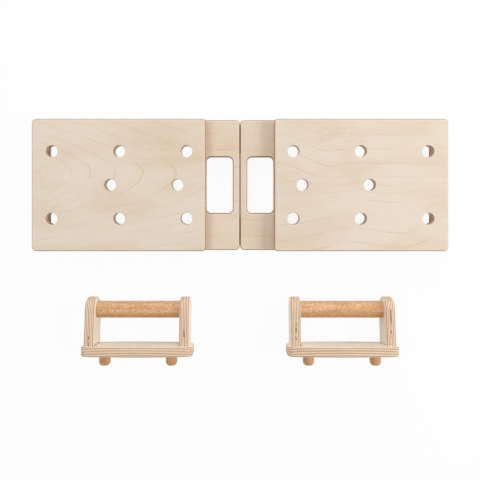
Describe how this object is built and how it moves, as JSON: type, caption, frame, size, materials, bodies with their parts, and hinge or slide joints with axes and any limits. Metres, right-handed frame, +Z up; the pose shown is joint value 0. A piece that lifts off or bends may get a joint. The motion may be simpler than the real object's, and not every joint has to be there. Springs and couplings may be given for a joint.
{
  "type": "folding push-up board with plug-in handles",
  "caption": "Folding plywood push-up board: hinged halves with peg holes and a carrying slot, and a pair of wooden bar handles that plug into the holes.",
  "frame": {"origin": "centre of the whole set's footprint, on the floor", "axes": "+X along the board, +Z up, +Y from the handles to the board's rear edge"},
  "size_m": [0.7424, 0.4416, 0.061],
  "materials": {
    "birch_plywood": "sanded, clear matt oil",
    "beech": "sanded, clear matt oil",
    "foot_rubber": "matt",
    "hinge_steel": "zinc plated",
    "screw_steel": "zinc plated"
  },
  "bodies": {
    "left_half": {"front_hinge_pin": "hinge_steel", "left_batten_screws": "screw_steel", "left_carry_plate": "birch_plywood", "left_deck": "birch_plywood", "left_end_batten": "birch_plywood", "left_foot_screws": "screw_steel", "left_front_hinge_leaf": "hinge_steel", "left_hinge_screws": "screw_steel", "left_lap_screws": "screw_steel", "left_rear_hinge_leaf": "hinge_steel", "left_rubber_feet": "foot_rubber", "rear_hinge_pin": "hinge_steel"},
    "right_half": {"right_batten_screws": "screw_steel", "right_carry_plate": "birch_plywood", "right_deck": "birch_plywood", "right_end_batten": "birch_plywood", "right_foot_screws": "screw_steel", "right_front_hinge_leaf": "hinge_steel", "right_hinge_screws": "screw_steel", "right_lap_screws": "screw_steel", "right_rear_hinge_leaf": "hinge_steel", "right_rubber_feet": "foot_rubber"},
    "left_handle": {"left_handle_bar": "beech", "left_handle_base": "birch_plywood", "left_handle_left_peg": "beech", "left_handle_left_post": "birch_plywood", "left_handle_post_screws": "screw_steel", "left_handle_right_peg": "beech", "left_handle_right_post": "birch_plywood"},
    "right_handle": {"right_handle_bar": "beech", "right_handle_base": "birch_plywood", "right_handle_left_peg": "beech", "right_handle_left_post": "birch_plywood", "right_handle_post_screws": "screw_steel", "right_handle_right_peg": "beech", "right_handle_right_post": "birch_plywood"}
  },
  "joints": [
    {"name": "fold_hinge", "type": "hinge", "parent": "left_half", "child": "right_half", "pos_m": [0, 0.10283, 0.00325], "axis": [0, 1, 0], "range_deg": [-0.5, 179]},
    {"name": "left_handle_lift", "type": "slide", "parent": "left_half", "child": "left_handle", "axis": [0, 0, 1], "range_m": [0, 0.3]},
    {"name": "right_handle_lift", "type": "slide", "parent": "left_half", "child": "right_handle", "axis": [0, 0, 1], "range_m": [0, 0.3]}
  ]
}
